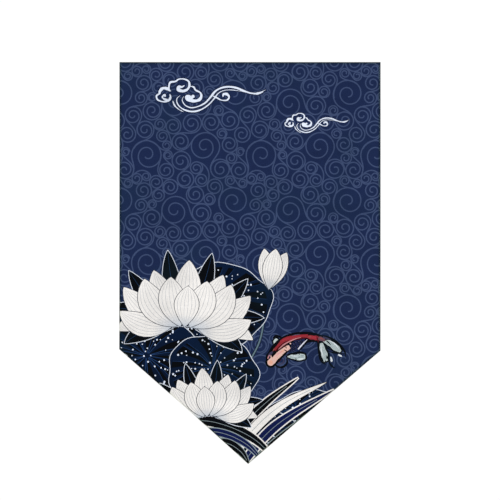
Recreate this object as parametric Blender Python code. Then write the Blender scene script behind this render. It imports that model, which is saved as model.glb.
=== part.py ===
"""Noren curtain: one hanging panel of printed cloth whose lower end comes to a point.

Metres, +Z up. The origin is the middle of the top edge on the cloth's front face. The printed
front looks towards -Y, the cloth hangs down -Z, and its left and right are seen from the front.
"""
import math

import bmesh
import bpy
import numpy as np
from mathutils import Vector

# Finished outline
PANEL_WIDTH = 0.280
PANEL_LENGTH = 0.430            # top edge to the tip
LEFT_SIDE = 0.3078              # top edge to the left corner
RIGHT_SIDE = 0.3095             # top edge to the right corner
TIP_X = -0.0020                 # the tip sits a little left of the middle

# Cloth and its turned edge, which lies on the back
CLOTH_THICKNESS = 0.0012
HEM_THICKNESS = 0.0022
HEM_WIDTH = 0.0075
HEM_STEP = 0.0008               # width of the slope from the hem down to the single cloth

# Uneven hang: slow waves that start at the held top edge and grow towards the tip.
# length is one wave's width, height its reach at the tip, slant how far it leans with the drop.
WAVES = (
    {"length": 0.196, "height": 0.0017, "phase": 0.7, "slant": 0.22},
    {"length": 0.118, "height": 0.0009, "phase": 2.3, "slant": -0.17},
)
TIP_SWING = 0.0035              # the loose point comes forward by this much
SWING_START = 0.26              # and starts to do so at this depth

# Grid spacing of the modelled surface
COLUMN_STEP = 0.0095
ROW_STEP = 0.0100

CLOTH_COLOUR = (0.028, 0.042, 0.105, 1.0)   # navy ground of the print
CLOTH_ROUGHNESS = 0.85


def clear_scene():
    """Remove whatever the opened file holds."""
    for item in list(bpy.data.objects):
        bpy.data.objects.remove(item, do_unlink=True)


def even_steps(start, end, step):
    """Evenly spaced places from start to end, about one step apart."""
    count = max(1, round(abs(end - start) / step))
    return list(np.linspace(start, end, count + 1))


def column_places():
    """X of each grid column: the two hems, and even steps that meet on the tip's column."""
    half = PANEL_WIDTH / 2
    inner = half - HEM_WIDTH - HEM_STEP
    left = even_steps(-inner, TIP_X, COLUMN_STEP)
    right = even_steps(TIP_X, inner, COLUMN_STEP)
    return [-half, -half + HEM_WIDTH] + left + right[1:] + [half - HEM_WIDTH, half]


def cut_depth(x):
    """Depth of the cut lower edge under a place across the panel."""
    half = PANEL_WIDTH / 2
    return float(np.interp(x, (-half, TIP_X, half), (LEFT_SIDE, PANEL_LENGTH, RIGHT_SIDE)))


def row_depths(x):
    """Depth of each grid row in one column: top hem, even cloth, and the hem of the slanted edge."""
    slope = (PANEL_LENGTH - LEFT_SIDE) / (PANEL_WIDTH / 2)
    stretch = math.hypot(1.0, slope)        # the hem's width, measured straight down a slanted edge
    lower_edge = cut_depth(x)
    lower_fold = lower_edge - HEM_WIDTH * stretch
    top = HEM_WIDTH + HEM_STEP
    bottom = lower_fold - HEM_STEP * stretch
    rows = round((PANEL_LENGTH - 2 * HEM_WIDTH) / ROW_STEP)
    middle = list(np.linspace(top, bottom, rows + 1))
    return [0.0, HEM_WIDTH] + middle + [lower_fold, lower_edge]


def hang(x, depth):
    """Place on the hanging front face: waves that grow with the depth, and the point's swing."""
    growth = (depth / PANEL_LENGTH) ** 1.4
    wave = sum(
        row["height"] * math.sin(2 * math.pi * (x + row["slant"] * depth) / row["length"] + row["phase"])
        for row in WAVES
    )
    past = max(0.0, depth - SWING_START) / (PANEL_LENGTH - SWING_START)
    return Vector((x, growth * wave - TIP_SWING * past * past, -depth))


def make_material():
    """Printed polyester and linen cloth: matt, with no metal in it."""
    material = bpy.data.materials.new("printed_cloth")
    material.use_nodes = True
    shader = material.node_tree.nodes["Principled BSDF"]
    shader.inputs["Base Color"].default_value = CLOTH_COLOUR
    shader.inputs["Roughness"].default_value = CLOTH_ROUGHNESS
    shader.inputs["Metallic"].default_value = 0.0
    return material


def make_panel():
    """The panel: a grid laid on the hanging surface, thickened backwards, more so at its hem."""
    columns = column_places()
    depths = [row_depths(x) for x in columns]
    last_column = len(columns) - 1
    last_row = len(depths[0]) - 1

    mesh = bpy.data.meshes.new("cloth_panel")
    panel = bpy.data.objects.new("cloth_panel", mesh)
    bpy.context.scene.collection.objects.link(panel)
    hem_group = panel.vertex_groups.new(name="hem")

    bm = bmesh.new()
    weights = bm.verts.layers.deform.new()
    bmesh.ops.create_grid(bm, x_segments=last_column, y_segments=last_row, size=1.0)
    for vert in bm.verts:
        column = round((vert.co.x + 1.0) / 2.0 * last_column)
        row = round((1.0 - vert.co.y) / 2.0 * last_row)
        vert.co = hang(columns[column], depths[column][row])
        in_hem = column < 2 or column > last_column - 2 or row < 2 or row > last_row - 2
        vert[weights][hem_group.index] = 1.0 if in_hem else CLOTH_THICKNESS / HEM_THICKNESS
    bm.to_mesh(mesh)
    bm.free()

    thick = panel.modifiers.new("cloth_thickness", "SOLIDIFY")
    thick.thickness = HEM_THICKNESS
    thick.offset = -1.0
    thick.vertex_group = hem_group.name
    mesh.materials.append(make_material())
    mesh.shade_smooth()
    mesh.set_sharp_from_angle(angle=math.radians(40))
    return panel


clear_scene()
make_panel()
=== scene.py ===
import math

import bpy
import numpy as np
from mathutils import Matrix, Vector
from mathutils.geometry import delaunay_2d_cdt


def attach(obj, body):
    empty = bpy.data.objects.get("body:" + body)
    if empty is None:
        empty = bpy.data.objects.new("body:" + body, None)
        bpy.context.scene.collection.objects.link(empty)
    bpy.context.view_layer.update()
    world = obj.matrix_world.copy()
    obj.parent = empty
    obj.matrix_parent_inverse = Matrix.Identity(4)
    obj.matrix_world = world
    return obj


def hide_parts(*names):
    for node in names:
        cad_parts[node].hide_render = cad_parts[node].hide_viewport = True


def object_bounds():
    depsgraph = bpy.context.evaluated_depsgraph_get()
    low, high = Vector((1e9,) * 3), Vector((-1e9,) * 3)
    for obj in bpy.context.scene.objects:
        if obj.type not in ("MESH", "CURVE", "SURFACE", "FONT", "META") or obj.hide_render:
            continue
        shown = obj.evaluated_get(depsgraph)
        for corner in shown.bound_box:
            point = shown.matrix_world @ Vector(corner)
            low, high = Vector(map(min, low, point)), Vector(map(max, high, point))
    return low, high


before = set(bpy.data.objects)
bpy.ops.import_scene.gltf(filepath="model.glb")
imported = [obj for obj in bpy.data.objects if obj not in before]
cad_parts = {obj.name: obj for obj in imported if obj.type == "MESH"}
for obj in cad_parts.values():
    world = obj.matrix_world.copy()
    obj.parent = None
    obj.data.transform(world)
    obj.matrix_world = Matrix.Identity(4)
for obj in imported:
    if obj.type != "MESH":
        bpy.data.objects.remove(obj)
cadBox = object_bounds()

# A small printed noren panel. The print is worked out flat, in mm seen from the front: x to the right,
# z up, from the middle of the top edge. The cloth is then lifted into the shape in which it hangs.
panel = {
    "width": (cadBox[1].x - cadBox[0].x) * 1000, "length": -cadBox[0].z * 1000,
    "leftSide": 307.8, "rightSide": 309.5,      # top edge to the left and the right corner
    "tipX": -2.0,                               # the point sits a little left of the middle
    "cloth": 1.2, "hem": 2.2, "hemWidth": 7.5,  # thickness of the cloth and of its turned edge
}
# how it hangs, as its solid does: length, height, phase and slant of each wave, in metres
hanging = {
    "waves": ((0.196, 0.0017, 0.7, 0.22), (0.118, 0.0009, 2.3, -0.17)), "growth": 1.4,
    "tipSwing": 0.0035, "swingStart": 0.26,
}
corners = np.array([
    (-panel["width"] / 2, 0.0), (-panel["width"] / 2, -panel["leftSide"]), (panel["tipX"], -panel["length"]),
    (panel["width"] / 2, -panel["rightSide"]), (panel["width"] / 2, 0.0),
])
edgeCount = len(corners)


def linear(hexText):
    # sRGB hex to linear: (c / 12.92) below 0.04045, else ((c + 0.055) / 1.055)^2.4
    value = int(hexText.lstrip("#"), 16)
    parts = np.array([(value >> 16) & 255, (value >> 8) & 255, value & 255]) / 255
    return np.where(parts <= 0.04045, parts / 12.92, ((parts + 0.055) / 1.055) ** 2.4)


printShapes = []        # every shape of the print, the lowest first
leastStep = 0.02        # mm from one point of an outline to the next
tiny = 1e-9             # a length that is safe to divide by


def lay(outline, ink, fade=None, start=(0.0, 0.0), end=(0.0, 1.0)):
    # one printed shape; with a fade its ink runs from start to end in a straight blend
    printShapes.append({"outline": np.asarray(outline, float), "ink": ink, "fade": fade or ink,
                        "start": np.asarray(start, float), "end": np.asarray(end, float)})


def ease(value):
    # smooth step: 3v^2 - 2v^3, with v kept between 0 and 1
    value = np.clip(value, 0, 1)
    return value * value * (3 - 2 * value)


def smoothPath(points, count):
    # cubic through every point, whose slope at a point is half the step between its two neighbours
    points = np.asarray(points, float)
    padded = np.vstack([2 * points[0] - points[1], points, 2 * points[-1] - points[-2]])
    along = np.linspace(0, len(points) - 1, count)
    index = np.minimum(along.astype(int), len(points) - 2)
    part = (along - index)[:, None]
    p0, p1, p2, p3 = (padded[index + k] for k in range(4))
    return 0.5 * (2 * p1 + (p2 - p0) * part + (2 * p0 - 5 * p1 + 4 * p2 - p3) * part ** 2
                  + (3 * p1 - p0 - 3 * p2 + p3) * part ** 3)


def sideways(path):
    # unit vector across the path: its direction turned a quarter to the left
    ahead = np.gradient(path, axis=0)
    across = np.stack([-ahead[:, 1], ahead[:, 0]], 1)
    return across / np.maximum(np.hypot(ahead[:, 0], ahead[:, 1]), tiny)[:, None]


def ribbon(path, width):
    # outline of a line: the path moved half its width to either side
    half = (np.broadcast_to(width, len(path)) / 2)[:, None]
    across = sideways(path)
    return np.vstack([path + across * half, (path - across * half)[::-1]])


def turned(points, degrees):
    # points turned about the origin
    angle = math.radians(degrees)
    points = np.asarray(points, float)
    return np.stack([points[:, 0] * math.cos(angle) - points[:, 1] * math.sin(angle),
                     points[:, 0] * math.sin(angle) + points[:, 1] * math.cos(angle)], 1)


def cleaned(outline):
    # the outline without points that lie on their neighbour
    step = np.hypot(*(outline - np.roll(outline, 1, 0)).T)
    return outline[step > leastStep]


# the ground's scrolls: one tile of packed circles, repeated, with a spiral line in each circle
swirls = {
    "tileWidth": 122.8, "tileHeight": 115.0, "shift": -61.0,
    "lineWidth": 1.36, "ink": "#3A486A", "seed": 33,
    "big": ((13, 24, 17.6), (73, 15, 18.2), (43, 80, 17.8), (104, 71, 17.0)),      # x, z, radius
    "rest": ((11.0, 6), (9.9, 7), (8.8, 7), (7.4, 5), (6.0, 6), (4.8, 5)),         # radius, count
    "packSteps": 1500, "push": 0.35, "shake": 0.25,     # how the circles are pushed and shaken apart
    "swellFrom": 0.55, "swellBy": 0.5, "swellTime": 0.7,    # share of full size at first, and how it grows
    "growMost": 1.2, "overlap": 0.25,       # then each may grow this much, and into the next by so many mm
    "fill": 4.3, "searchStep": 0.5,         # smallest circle that is put into what is left open
    "shareRadii": (11.0, 16.0), "shares": (0.945, 0.88),    # of its circle that a scroll's rim fills
    "stay": (0.5, 0.75), "bigStay": 0.42,   # turns along the rim before a scroll's line steps inwards
    "turns": (1.62, 2.0), "fullTurns": 10.0,    # fewest and most turns, and the radius that has the most,
    "turnsAtStay": 0.6,                         # for a line that stays on the rim for this share of a turn
    "slope": 0.07,                          # share of the radius that the rim itself loses in a turn
    "stepsIn": ((0.40, 0.0, 0.6), (0.39, 0.75, 0.7)),   # share lost, turns after the stay, turns it takes
    "reach": 1.5,                           # how far off the cloth a centre may lie, in radii
    "linkLeast": 2.0, "linkMost": 15.0,     # shortest and longest tangent that a link may follow
    "leads": (0.2, 0.45, 0.7, 0.95, 1.3),   # how wide a link may swing: the angle before its tangent's foot
    "leadMost": 1.3, "pull": 1.3,           # the lead on a small neighbour, and how round the link is
    "linkPoints": 16,
    "joinSize": 0.965,                      # of a neighbour's radius, where its rim is met
    "clearScroll": 0.5, "clearLink": 1.26,  # how near a link may pass to another scroll and another link
    "lengthMost": 26.0, "penalty": 14.0, "lateBy": 0.06, "rounds": 3,
    "fewestPoints": 24, "pointsPerMm": 3.0,         # of a scroll's line, the second by its radius
}


def wrapped(apart, tile):
    # shortest way between two places when the tile repeats
    return apart - tile * np.round(apart / tile)


def packSwirls(settings):
    # circles pushed apart where they overlap, while they swell to full size, on a tile that repeats
    tile = np.array([settings["tileWidth"], settings["tileHeight"]])
    big = np.array(settings["big"], float)
    rest = np.repeat([row[0] for row in settings["rest"]], [row[1] for row in settings["rest"]])
    chance = np.random.default_rng(settings["seed"])
    places = np.vstack([big[:, :2], chance.uniform(0, 1, (len(rest), 2)) * tile])
    sizes = np.concatenate([big[:, 2], rest])
    free = np.arange(len(sizes)) >= len(big)
    reach = sizes[:, None] + sizes[None]
    np.fill_diagonal(reach, 0)
    steps = settings["packSteps"]
    for step in range(steps):
        apart = wrapped(places[:, None] - places[None], tile)
        distance = np.hypot(apart[..., 0], apart[..., 1]) + tiny
        swell = min(1.0, settings["swellFrom"] + settings["swellBy"] * step / (settings["swellTime"] * steps))
        press = np.maximum(reach * swell - distance, 0)
        push = (apart / distance[..., None] * press[..., None]).sum(1)
        shake = chance.normal(0, settings["shake"], push.shape) * (1 - step / steps)
        places = np.where(free[:, None], places + settings["push"] * push + shake, places) % tile
    # each in turn grows or shrinks until it just meets its nearest neighbour
    for index in np.argsort(-sizes):
        apart = wrapped(places - places[index], tile)
        room = np.hypot(apart[:, 0], apart[:, 1]) - sizes
        room[index] = tile[0]
        if free[index]:
            sizes[index] = min(room.min() + settings["overlap"], sizes[index] * settings["growMost"])
    # what is left open gets small ones
    axes = [np.arange(0, side, settings["searchStep"]) for side in tile]
    grid = np.stack(np.meshgrid(*axes), -1).reshape(-1, 2)
    circles = [(x, z, r) for (x, z), r in zip(places, sizes)]

    def gapTo(x, z, r):
        apart = wrapped(grid - (x, z), tile)
        return np.hypot(apart[:, 0], apart[:, 1]) - r

    near = np.min([gapTo(*circle) for circle in circles], axis=0)
    while near.max() >= settings["fill"]:
        best = near.argmax()
        circles.append((grid[best, 0], grid[best, 1], near[best]))
        near = np.minimum(near, gapTo(*circles[-1]))
    return np.array(circles), tile


def swirlSize(settings, turn, stay):
    # radius over the turns: a nearly full rim for the stay, then a quick step in, then a curl to the middle
    size = 1.0 - settings["slope"] * np.clip(turn, 0, 1)
    for share, after, over in settings["stepsIn"]:
        size = size - share * ease((turn - stay - after) / over)
    return size


def turnAt(place, start, handed):
    # how far along its rim, in turns, a scroll's line passes a place
    return ((math.atan2(place[1], place[0]) - start) * handed / (2 * math.pi)) % 1


def unit(angle):
    return np.array([math.cos(angle), math.sin(angle)])


def swungLine(start, ahead, end, onward, pull, count):
    # cubic between two points with given directions there, and at both a speed of pull * their distance
    s = np.linspace(0, 1, count)[:, None]
    speed = pull * math.dist(start, end)
    return ((2 * s ** 3 - 3 * s ** 2 + 1) * start + (s ** 3 - 2 * s ** 2 + s) * speed * ahead
            + (3 * s ** 2 - 2 * s ** 3) * end + (s ** 3 - s ** 2) * speed * onward)


def linksTo(settings, radius, apart, size):
    # lines from a rim round the origin to a neighbour's rim, each with the angle at which it leaves and the
    # hand of its scroll. It goes along a common tangent of the two: with D the way to the neighbour, its
    # foot lies at an angle from D whose cosine is (r1 + r2) / |D| where it passes between them, and
    # (r1 - r2) / |D| where it passes beside both. It leaves a lead before that foot and joins a lead after
    # the other, so it swings wide of both rims.
    distance = math.hypot(*apart)
    quarter = math.pi / 2
    for between in (1, -1):
        share = (radius + between * size) / distance
        if abs(share) >= 1:
            continue
        if not settings["linkLeast"] < distance * math.sqrt(1 - share ** 2) < settings["linkMost"]:
            continue
        for handed in (1, -1):
            foot = math.atan2(apart[1], apart[0]) + handed * math.acos(share)
            otherFoot = foot + (math.pi if between > 0 else 0)
            for lead in settings["leads"]:
                leave = foot + handed * lead
                join = otherFoot + between * handed * lead * min(settings["leadMost"], radius / size)
                line = swungLine(unit(leave) * radius, unit(leave - handed * quarter),
                                 apart + unit(join) * size, unit(join + between * handed * quarter),
                                 settings["pull"], settings["linkPoints"])
                inside = min((np.hypot(*line.T) - radius).min(), (np.hypot(*(line - apart).T) - size).min())
                if inside > -settings["overlap"]:
                    yield line, leave, handed


def swirlLinks(settings, circles, stays, tile):
    # each scroll in turn, the largest first, takes the longest link that meets no other scroll and no other
    # link. A link counts as less where it ends on a part of the rim that the other's line has left for the
    # inside, or where it turns its own scroll so that another's link ends like that.
    links = [None] * len(circles)
    every = np.arange(len(circles))
    for index in np.tile(np.argsort(-circles[:, 2]), settings["rounds"]):
        links[index] = None
        x, z, radius = circles[index]
        apart = wrapped(circles[:, :2] - (x, z), tile)
        near = (every != index) & (np.hypot(*apart.T) < radius + circles[:, 2] + settings["linkMost"])
        laid = [link["line"] + circles[k, :2] - (x, z) for k, link in enumerate(links) if link]
        laid = np.vstack(laid + [[tile]])
        ends = [wrapped(link["line"][-1] + circles[k, :2] - (x, z), tile) for k, link in enumerate(links)
                if link and link["other"] == index]
        ownLate = stays[index] + settings["lateBy"]
        best = 0.0
        for other in np.nonzero(near)[0]:
            size = circles[other, 2] * settings["joinSize"]
            others = near & (every != other)
            late = stays[other] + settings["lateBy"]
            for line, leave, handed in linksTo(settings, radius, apart[other], size):
                room = np.hypot(*wrapped(line[2:-2, None] - apart[others], tile).transpose(2, 0, 1))
                room = (room - circles[others, 2]).min()
                cross = np.hypot(*wrapped(line[1:-1, None] - laid, tile).transpose(2, 0, 1))
                if room <= settings["clearScroll"] or cross.min() <= settings["clearLink"]:
                    continue
                score = min(np.hypot(*np.diff(line, axis=0).T).sum(), settings["lengthMost"])
                link = links[other]
                if link and turnAt(line[-1] - apart[other], link["leave"], link["handed"]) > late:
                    score -= settings["penalty"]
                score -= settings["penalty"] * sum(turnAt(end, leave, handed) > ownLate for end in ends)
                if score > best:
                    best = score
                    links[index] = {"line": line, "leave": leave, "handed": handed, "other": other}
    return links


def drawSwirls(settings):
    circles, tile = packSwirls(settings)
    circles[:, 2] *= np.interp(circles[:, 2], settings["shareRadii"], settings["shares"])
    stays = np.random.default_rng(settings["seed"] + 1).uniform(*settings["stay"], len(circles))
    stays[:len(settings["big"])] = settings["bigStay"]
    links = swirlLinks(settings, circles, stays, tile)
    reach = np.ceil(np.array([panel["width"] / 2, panel["length"]]) / tile).astype(int) + 1
    copies = [(tile[0] * right + settings["shift"], -tile[1] * down)
              for right in range(-reach[0], reach[0] + 1) for down in range(-1, reach[1] + 1)]
    for right, up in copies:
        for (x, z, radius), stay, link in zip(circles, stays, links):
            centre = np.array([x + right, z + up])
            if not insidePanel(centre[None], -settings["reach"] * radius)[0]:
                continue
            turns = np.interp(radius, (settings["fill"], settings["fullTurns"]), settings["turns"])
            points = int(settings["fewestPoints"] + radius * settings["pointsPerMm"])
            turn = np.linspace(0, turns + stay - settings["turnsAtStay"], points)
            leave, handed = (link["leave"], link["handed"]) if link else (0.0, 1)
            angle = leave + handed * 2 * math.pi * turn
            size = radius * swirlSize(settings, turn, stay)
            line = np.stack([size * np.cos(angle), size * np.sin(angle)], 1)
            if link:
                line = np.vstack([link["line"][:0:-1], line])
            lay(ribbon(centre + line, settings["lineWidth"]), settings["ink"])


# brushed clouds: each stroke has the points that the brush passes and its widest width
cloud = {
    "places": ({"left": -101.4, "top": -17.0, "scale": 1.0}, {"left": 36.9, "top": -54.4, "scale": 0.585}),
    "white": "#DFE8F8", "halo": "#18213F", "haloWidth": 2.2,
    "press": 1.12, "scalePower": 0.75,      # a small cloud's brush is smaller by less than the cloud is
    "fewestPoints": 12, "pointsPerMark": 6,
    # along a stroke: shares of it for the press and the lift, how blunt they are and the least width, the
    # waves' heights, how often they come and how far each stroke shifts them, and one slow swell
    "pressShare": 0.10, "liftShare": 0.16, "blunt": 0.6, "least": 0.16,
    "waves": ((0.13, 23.0, 1.0), (0.09, 51.0, 2.1)), "swell": (0.28, 6.3, 0.9),
    "strokes": (
        # left lobe with its curl
        (((16.4, -14.4), (12.4, -11.6), (8.0, -11.2), (5.0, -14.2), (4.2, -17.0), (1.2, -19.4), (2.6, -23.6),
          (8.6, -25.6), (14.0, -24.4), (16.2, -20.6), (15.4, -17.6)), 2.9),
        (((13.4, -24.0), (9.6, -22.8), (7.4, -20.6), (9.4, -18.6), (11.0, -20.2)), 2.7),
        # top lobe, nearly square, curls back under itself
        (((14.6, -13.6), (14.6, -8.4), (16.2, -4.8), (21.6, -3.8), (25.2, -1.4), (31.0, -1.4),
          (35.6, -3.8), (36.4, -8.6), (34.2, -12.4), (29.4, -14.2), (24.8, -12.6), (25.0, -9.6), (28.4, -9.8),
          (31.2, -8.2)), 2.9),
        # right lobe ends in a heavy blob
        (((37.0, -9.0), (40.8, -9.8), (43.2, -13.2), (48.0, -15.8), (49.2, -19.8), (46.8, -23.6),
          (41.4, -24.8), (35.8, -23.4), (33.2, -20.6), (36.2, -19.4), (39.6, -21.6)), 3.2),
        # the long sweep's two lines, the short outer line, and a blob in the right lobe
        (((30.6, -19.4), (28.8, -24.0), (32.0, -29.4), (38.4, -32.0), (46.0, -30.6), (53.4, -26.8),
          (59.0, -20.8), (64.0, -14.6), (70.2, -11.0), (78.0, -9.6), (86.0, -10.6), (94.0, -13.4),
          (101.0, -16.0), (108.4, -16.6), (113.8, -15.0), (118.2, -12.8)), 1.75),
        (((26.6, -18.6), (23.0, -22.6), (23.8, -28.0), (28.4, -32.8), (35.4, -35.6), (43.0, -35.9),
          (50.6, -33.2), (57.4, -28.4), (62.8, -22.5), (67.0, -17.0), (72.4, -13.9), (79.4, -12.9),
          (87.0, -13.6), (94.0, -14.8)), 1.4),
        (((18.6, -24.6), (20.8, -29.8), (25.4, -34.0), (30.0, -36.4)), 1.3),
        (((35.6, -22.4), (38.6, -22.4), (41.2, -18.4)), 4.4),
        (((90.0, -12.4), (96.0, -14.6), (101.6, -16.4), (108.6, -16.9), (115.6, -14.9)), 2.2),
        # the small curl under the sweep
        (((61.6, -19.4), (65.6, -21.2), (70.6, -23.8), (76.4, -24.0), (79.0, -20.8), (76.8, -17.6),
          (73.0, -17.6), (72.4, -20.4)), 2.4),
    ),
}


def brushWidths(settings, count, widest, seed):
    # a brush's width along its stroke: quick press, slow lift, and a few sine waves of unevenness
    along = np.linspace(0, 1, count)
    body = np.minimum(along / settings["pressShare"], (1 - along) / settings["liftShare"])
    body = settings["least"] + (1 - settings["least"]) * np.clip(body, 0, 1) ** settings["blunt"]
    wobble = 1 + sum(high * np.sin(along * often + shift * seed) for high, often, shift in settings["waves"])
    high, often, shift = settings["swell"]
    return widest * body * wobble * (1 - high + high * np.sin(along * often + shift * seed))


def drawCloud(settings, place):
    scale = place["scale"]
    press = settings["press"] * scale ** settings["scalePower"]
    for ink, more in ((settings["halo"], settings["haloWidth"] * scale), (settings["white"], 0.0)):
        for number, (points, widest) in enumerate(settings["strokes"], 1):
            count = settings["fewestPoints"] + settings["pointsPerMark"] * len(points)
            path = smoothPath(points, count) * scale + (place["left"], place["top"])
            lay(ribbon(path, brushWidths(settings, count, widest * press, number) + more), ink)


lotus = {
    # each kind of petal has its tip's ink, its foot's, its veins' and its outline's
    "petal": ("#EAE7E4", "#B6BEC9", "#ABAEB4", "#2B323F"),
    "sepal": ("#020409", "#04132A", "#1D385C", "#D6DDE8"),
    "outline": 0.70, "tipGrow": 1.6, "shadeReach": 0.30,
    "fullness": 1.15, "blunt": 0.78,        # where a petal is widest, and how round its ends are
    "edgePoints": 18, "spinePoints": 30,
    # veins: shares of the half width, where they start and end, how much further in the outer ones do,
    # their width, its least share, and how far before the sine's ends the width begins and stops
    "petalVeins": (-0.72, -0.42, -0.12, 0.18, 0.48, 0.76), "sepalVeins": (0.0,),
    "veinFrom": 0.22, "veinTo": 0.93, "veinLater": 0.1, "veinSooner": 0.22,
    "veinWidth": 0.42, "veinLeast": 0.35, "veinTaper": (0.25, 0.12), "veinPoints": 12,
    # one row a sepal or petal, back ones first: lean from upright, length, width, bow, where its base sits
    "sepals": (
        (-112, 0.80, 0.26, -0.10, -0.12), (112, 0.80, 0.26, 0.10, 0.12),
        (-78, 1.03, 0.24, -0.06, -0.14), (78, 1.03, 0.24, 0.06, 0.14),
        (-46, 1.10, 0.26, 0.05, -0.08), (46, 1.10, 0.26, -0.05, 0.08),
        (-15, 1.14, 0.26, 0.03, -0.03), (15, 1.14, 0.26, -0.03, 0.03),
    ),
    "petals": (
        (-30, 0.92, 0.36, 0.05, -0.05), (30, 0.92, 0.36, -0.05, 0.05), (0, 0.98, 0.40, 0.0, 0.0),
        (-98, 0.86, 0.27, -0.12, -0.16), (98, 0.86, 0.27, 0.12, 0.16),
        (-58, 0.98, 0.36, 0.10, -0.10), (58, 0.98, 0.36, -0.10, 0.10),
        (-78, 0.80, 0.33, 0.13, -0.18), (78, 0.80, 0.33, -0.13, 0.18),
        (-38, 0.84, 0.40, 0.12, -0.12), (38, 0.84, 0.40, -0.12, 0.12),
        (-15, 0.74, 0.40, 0.06, -0.06), (17, 0.72, 0.40, -0.06, 0.07),
        (1, 0.60, 0.36, 0.0, 0.0),
    ),
    "budPetals": ((-16, 0.38), (16, 0.38), (0, 0.46)),      # lean, width
}


def petalEdge(settings, petal, points):
    # a bowed middle line from base to tip; half width is width / 2 * sin(pi * t^fullness)^blunt
    base, tip, width, bow = petal
    chord = tip - base
    side = np.array([-chord[1], chord[0]])
    t = (1 - np.cos(np.linspace(0, math.pi, points))) / 2
    spine = base + chord * t[:, None] + side * (bow * 4 * t * (1 - t))[:, None]
    half = width / 2 * np.sin(math.pi * t ** settings["fullness"]).clip(0) ** settings["blunt"]
    return spine, sideways(spine), half


def petalShape(settings, petal, grow=0.0):
    # the petal's outline, grown by a line's width for its border
    points = settings["edgePoints"]
    spine, across, half = petalEdge(settings, petal, points)
    half = (half + grow)[:, None]
    outline = np.vstack([spine + across * half, (spine - across * half)[::-1]])
    if grow:
        ahead = spine[-1] - spine[-2]
        ahead = ahead / np.hypot(*ahead) * grow * settings["tipGrow"]
        outline[points - 1] = outline[points] = spine[-1] + ahead
    return cleaned(outline)


def petalVein(settings, petal, side):
    # a line that keeps to one share of the petal's half width, between two shares of its length
    points = settings["spinePoints"]
    rows = np.column_stack(petalEdge(settings, petal, points))
    start = settings["veinFrom"] + settings["veinLater"] * abs(side)
    end = settings["veinTo"] - settings["veinSooner"] * abs(side)
    picked = np.linspace(start, end, settings["veinPoints"]) * (points - 1)
    at = np.column_stack([np.interp(picked, np.arange(points), column) for column in rows.T])
    return at[:, :2] + at[:, 2:4] * (at[:, 4:] * side)


def drawPetal(settings, base, tip, width, bow, kind="petal"):
    tipInk, footInk, veinInk, edgeInk = settings[kind]
    petal = np.array(base, float), np.array(tip, float), width, bow
    lay(petalShape(settings, petal, grow=settings["outline"]), edgeInk)
    lay(petalShape(settings, petal), footInk, tipInk, petal[0],
        petal[0] + (petal[1] - petal[0]) * settings["shadeReach"])
    for side in settings[kind + "Veins"]:
        line = petalVein(settings, petal, side)
        taper = np.sin(np.linspace(settings["veinTaper"][0], math.pi - settings["veinTaper"][1], len(line)))
        taper = settings["veinLeast"] + (1 - settings["veinLeast"]) * taper
        lay(ribbon(line, settings["veinWidth"] * taper), veinInk)


def drawBloom(settings, centre, length, turn):
    for kind in ("sepal", "petal"):
        for lean, long, wide, bow, offset in settings[kind + "s"]:
            base = np.array(centre) + length * offset * unit(math.radians(-turn))
            tip = base + length * long * unit(math.radians(90 - lean - turn))
            drawPetal(settings, base, tip, length * wide, bow, kind)


def drawBud(settings, foot, height, lean):
    for spread, wide in settings["budPetals"]:
        tip = np.array(foot) + height * unit(math.radians(90 - lean - spread))
        drawPetal(settings, foot, tip, height * wide, 0.0)


leaf = {
    "deep": "#041733", "dark": "#030F24", "wedge": "#020409", "edge": "#D6DDE8", "vein": "#1C3761",
    "dew": "#DDE6F5", "edgeWidth": 0.7, "fadeEnd": 0.7,
    "rimPoints": 72, "ripple": ((0.035, 0, 1.3), (0.02, 4, 0.4)),       # height, more waves, phase
    "middle": 0.12, "far": 0.93,            # of the way to the rim: where veins meet, and where they end
    "veinWidth": 0.55, "veinEnds": (1.3, 0.5), "veinFrom": 0.06, "veinBow": 0.05, "veinPoints": 10,
    "stray": 0.35, "strayTurn": 2.4,        # how far a vein strays from its even place, in sectors
    "wedgeShare": 0.52, "wedgePoints": 5,   # share of the sector between two veins
    "dewSizes": (0.5, 1.1), "dewTurn": 2.39996, "dewFar": 0.90,     # radii, the golden angle, how far out
    "dewStray": 0.5, "dewSpread": (0.2, 0.8),
}
drop = {"points": 9, "largePoints": 18, "largeFrom": 1.5}


def leafRim(settings, centre, across, up, tilt, waves, grow=0.0):
    # a disc seen at a slant whose rim waves: radius * (1 + two small sine waves of the angle)
    angle = np.linspace(0, 2 * math.pi, settings["rimPoints"], endpoint=False)
    ripple = 1 + sum(high * np.sin((waves + more) * angle + phase)
                     for high, more, phase in settings["ripple"])
    rim = np.stack([(across * ripple + grow) * np.cos(angle), (up * ripple + grow) * np.sin(angle)], 1)
    return turned(rim, tilt) + centre


def drawDrop(spot, radius, ink):
    points = drop["points"] if radius < drop["largeFrom"] else drop["largePoints"]
    angle = np.linspace(0, 2 * math.pi, points, endpoint=False)
    lay(np.stack([np.cos(angle), np.sin(angle)], 1) * radius + spot, ink)


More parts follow.
